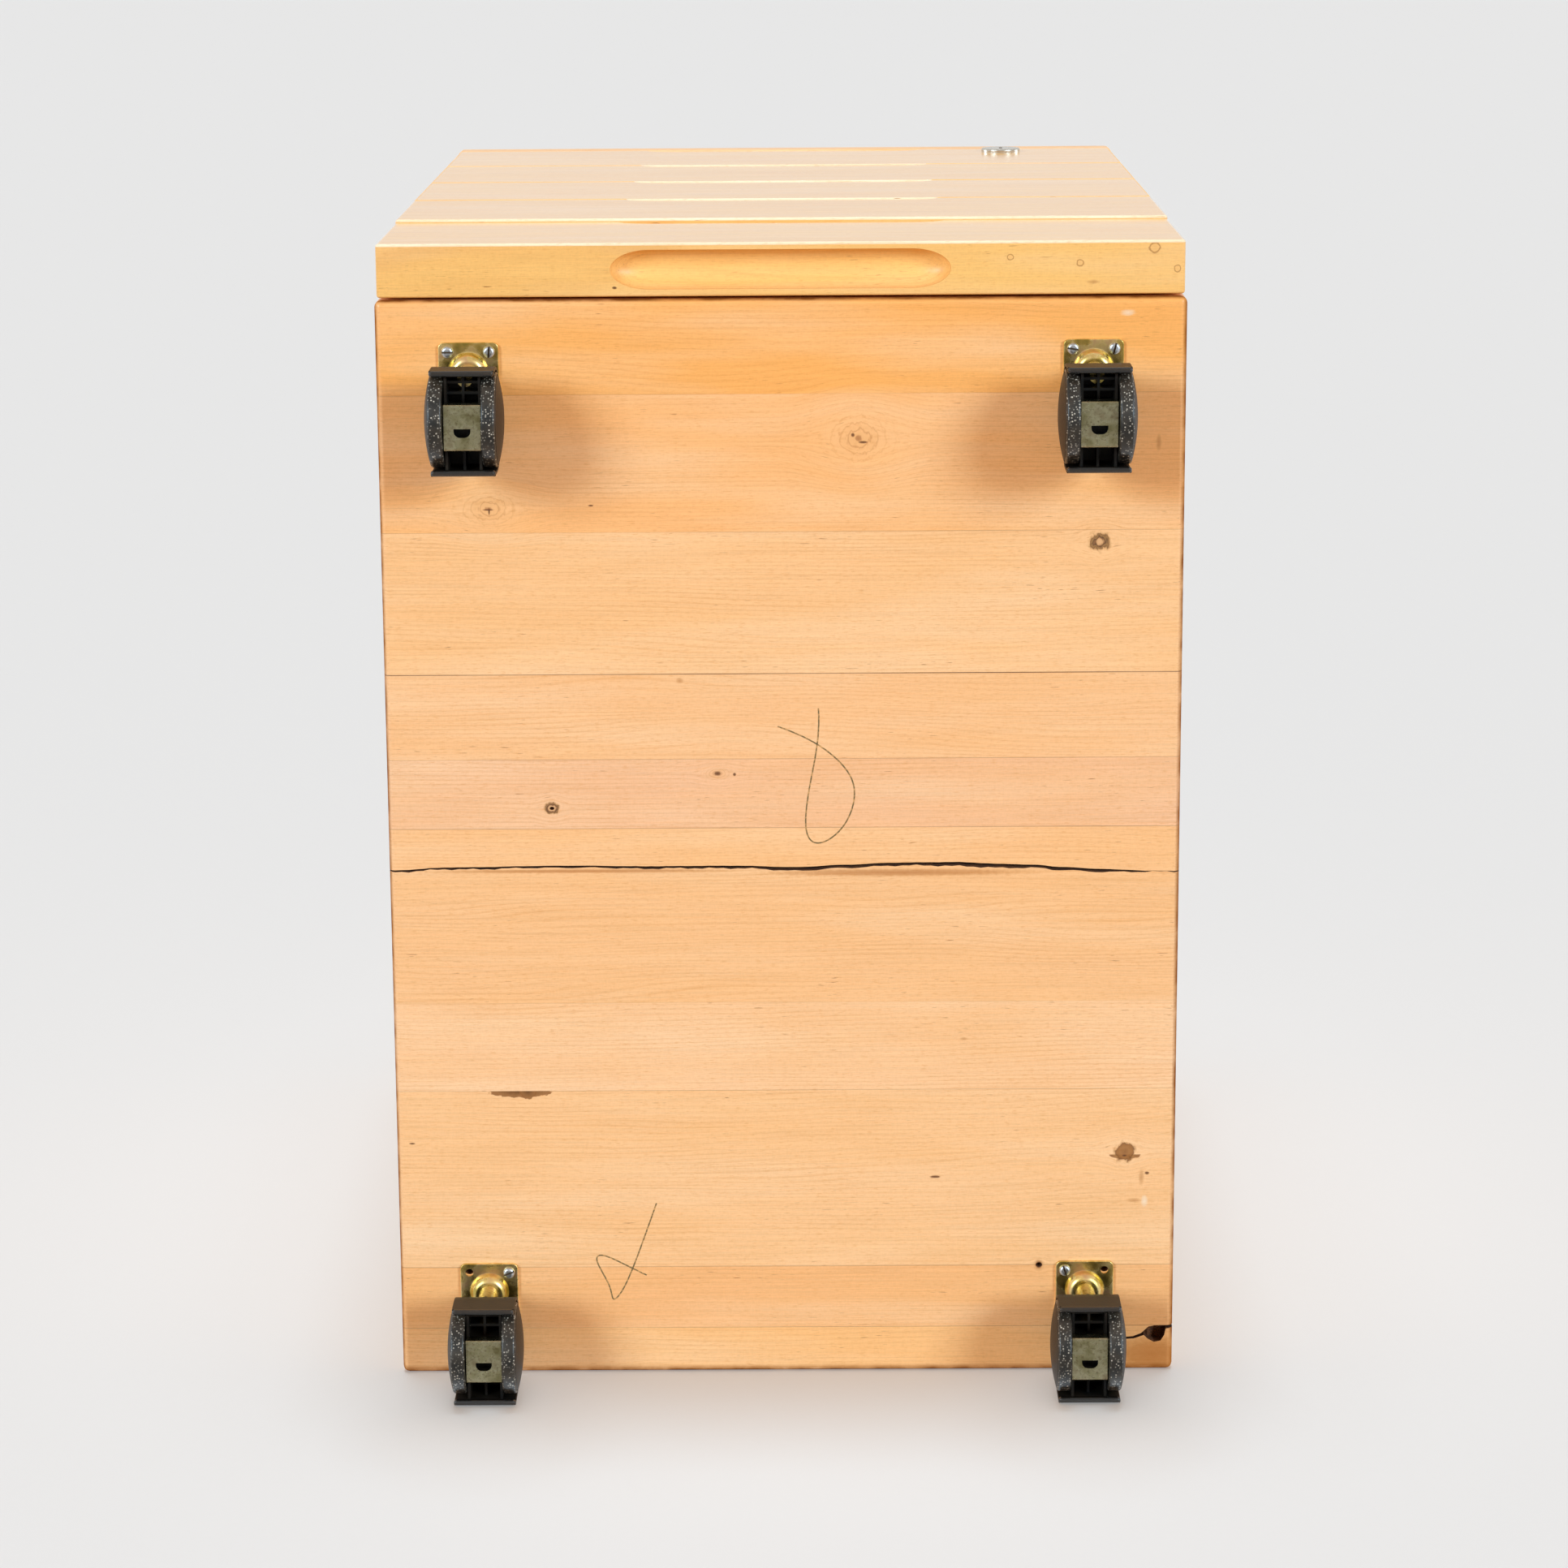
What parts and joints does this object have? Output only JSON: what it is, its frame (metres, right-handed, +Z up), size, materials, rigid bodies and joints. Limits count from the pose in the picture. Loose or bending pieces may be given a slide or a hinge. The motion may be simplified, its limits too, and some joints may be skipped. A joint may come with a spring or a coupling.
{
  "type": "drawer pedestal",
  "caption": "Rolling wooden drawer pedestal with overlay fronts, routed finger scoops, a cam lock in the top drawer and hooded swivel casters.",
  "frame": {"origin": "on the floor, below the middle of the whole unit's box", "axes": "+Z up, drawer fronts face -Y, +X to the right seen from the front"},
  "size_m": [0.43, 0.6342, 0.662],
  "materials": {
    "solid_wood": "clear-oiled maple staves",
    "drawer_wood": "planed, bare",
    "runner_wood": "planed, waxed",
    "plywood": "sanded birch plywood",
    "yellow_zinc": "yellow-passivated zinc plate",
    "bright_zinc": "bright zinc plate",
    "nickel": "polished nickel plate",
    "hood_plastic": "moulded nylon",
    "wheel_plastic": "moulded nylon, scuffed"
  },
  "bodies": {
    "carcass": {"bottom_board": "solid_wood", "top_board": "solid_wood", "left_side": "solid_wood", "right_side": "solid_wood", "back_panel": "plywood", "drawer_runners": "runner_wood", "wood_screws": "bright_zinc", "caster_front_left_plate": "yellow_zinc", "caster_front_right_plate": "yellow_zinc", "caster_rear_left_plate": "yellow_zinc", "caster_rear_right_plate": "yellow_zinc"},
    "drawer_1": {"drawer_1_front": "solid_wood", "drawer_1_left_side": "drawer_wood", "drawer_1_right_side": "drawer_wood", "drawer_1_back": "drawer_wood", "drawer_1_bottom": "plywood"},
    "drawer_2": {"drawer_2_front": "solid_wood", "drawer_2_left_side": "drawer_wood", "drawer_2_right_side": "drawer_wood", "drawer_2_back": "drawer_wood", "drawer_2_bottom": "plywood"},
    "drawer_3": {"drawer_3_front": "solid_wood", "drawer_3_left_side": "drawer_wood", "drawer_3_right_side": "drawer_wood", "drawer_3_back": "drawer_wood", "drawer_3_bottom": "plywood"},
    "drawer_4": {"drawer_4_front": "solid_wood", "drawer_4_left_side": "drawer_wood", "drawer_4_right_side": "drawer_wood", "drawer_4_back": "drawer_wood", "drawer_4_bottom": "plywood"},
    "drawer_5": {"drawer_5_front": "solid_wood", "drawer_5_left_side": "drawer_wood", "drawer_5_right_side": "drawer_wood", "drawer_5_back": "drawer_wood", "drawer_5_bottom": "plywood", "lock_cylinder": "nickel", "lock_nut": "bright_zinc"},
    "lock_plug_and_cam": {"lock_plug": "nickel", "lock_cam": "bright_zinc"},
    "caster_front_left_swivel": {"caster_front_left_hood": "hood_plastic", "caster_front_left_clip": "yellow_zinc", "caster_front_left_axle": "bright_zinc"},
    "caster_front_left_wheel_left": {"caster_front_left_wheel_left": "wheel_plastic"},
    "caster_front_left_wheel_right": {"caster_front_left_wheel_right": "wheel_plastic"},
    "caster_front_right_swivel": {"caster_front_right_hood": "hood_plastic", "caster_front_right_clip": "yellow_zinc", "caster_front_right_axle": "bright_zinc"},
    "caster_front_right_wheel_left": {"caster_front_right_wheel_left": "wheel_plastic"},
    "caster_front_right_wheel_right": {"caster_front_right_wheel_right": "wheel_plastic"},
    "caster_rear_left_swivel": {"caster_rear_left_hood": "hood_plastic", "caster_rear_left_clip": "yellow_zinc", "caster_rear_left_axle": "bright_zinc"},
    "caster_rear_left_wheel_left": {"caster_rear_left_wheel_left": "wheel_plastic"},
    "caster_rear_left_wheel_right": {"caster_rear_left_wheel_right": "wheel_plastic"},
    "caster_rear_right_swivel": {"caster_rear_right_hood": "hood_plastic", "caster_rear_right_clip": "yellow_zinc", "caster_rear_right_axle": "bright_zinc"},
    "caster_rear_right_wheel_left": {"caster_rear_right_wheel_left": "wheel_plastic"},
    "caster_rear_right_wheel_right": {"caster_rear_right_wheel_right": "wheel_plastic"}
  },
  "joints": [
    {"name": "drawer_1_slide", "type": "slide", "parent": "carcass", "child": "drawer_1", "axis": [0, -1, 0], "range_m": [0, 0.4]},
    {"name": "drawer_2_slide", "type": "slide", "parent": "carcass", "child": "drawer_2", "axis": [0, -1, 0], "range_m": [0, 0.4]},
    {"name": "drawer_3_slide", "type": "slide", "parent": "carcass", "child": "drawer_3", "axis": [0, -1, 0], "range_m": [0, 0.4]},
    {"name": "drawer_4_slide", "type": "slide", "parent": "carcass", "child": "drawer_4", "axis": [0, -1, 0], "range_m": [0, 0.4]},
    {"name": "drawer_5_slide", "type": "slide", "parent": "carcass", "child": "drawer_5", "axis": [0, -1, 0], "range_m": [0, 0.4]},
    {"name": "lock_turn", "type": "hinge", "parent": "drawer_5", "child": "lock_plug_and_cam", "pos_m": [0.141, -0.3146, 0.615], "axis": [0, 1, 0], "range_deg": [0, 90]},
    {"name": "caster_front_left_turn", "type": "hinge", "parent": "carcass", "child": "caster_front_left_swivel", "pos_m": [-0.1655, -0.2449, 0.062], "axis": [0, 0, 1], "continuous": true},
    {"name": "caster_front_left_roll_left", "type": "hinge", "parent": "caster_front_left_swivel", "child": "caster_front_left_wheel_left", "pos_m": [-0.1655, -0.2249, 0.025], "axis": [1, 0, 0], "continuous": true},
    {"name": "caster_front_left_roll_right", "type": "hinge", "parent": "caster_front_left_swivel", "child": "caster_front_left_wheel_right", "pos_m": [-0.1655, -0.2249, 0.025], "axis": [1, 0, 0], "continuous": true},
    {"name": "caster_front_right_turn", "type": "hinge", "parent": "carcass", "child": "caster_front_right_swivel", "pos_m": [0.1655, -0.2449, 0.062], "axis": [0, 0, 1], "continuous": true},
    {"name": "caster_front_right_roll_left", "type": "hinge", "parent": "caster_front_right_swivel", "child": "caster_front_right_wheel_left", "pos_m": [0.1655, -0.2249, 0.025], "axis": [1, 0, 0], "continuous": true},
    {"name": "caster_front_right_roll_right", "type": "hinge", "parent": "caster_front_right_swivel", "child": "caster_front_right_wheel_right", "pos_m": [0.1655, -0.2249, 0.025], "axis": [1, 0, 0], "continuous": true},
    {"name": "caster_rear_left_turn", "type": "hinge", "parent": "carcass", "child": "caster_rear_left_swivel", "pos_m": [-0.1655, 0.2686, 0.062], "axis": [0, 0, 1], "continuous": true},
    {"name": "caster_rear_left_roll_left", "type": "hinge", "parent": "caster_rear_left_swivel", "child": "caster_rear_left_wheel_left", "pos_m": [-0.1655, 0.2886, 0.025], "axis": [1, 0, 0], "continuous": true},
    {"name": "caster_rear_left_roll_right", "type": "hinge", "parent": "caster_rear_left_swivel", "child": "caster_rear_left_wheel_right", "pos_m": [-0.1655, 0.2886, 0.025], "axis": [1, 0, 0], "continuous": true},
    {"name": "caster_rear_right_turn", "type": "hinge", "parent": "carcass", "child": "caster_rear_right_swivel", "pos_m": [0.1655, 0.2686, 0.062], "axis": [0, 0, 1], "continuous": true},
    {"name": "caster_rear_right_roll_left", "type": "hinge", "parent": "caster_rear_right_swivel", "child": "caster_rear_right_wheel_left", "pos_m": [0.1655, 0.2886, 0.025], "axis": [1, 0, 0], "continuous": true},
    {"name": "caster_rear_right_roll_right", "type": "hinge", "parent": "caster_rear_right_swivel", "child": "caster_rear_right_wheel_right", "pos_m": [0.1655, 0.2886, 0.025], "axis": [1, 0, 0], "continuous": true}
  ]
}
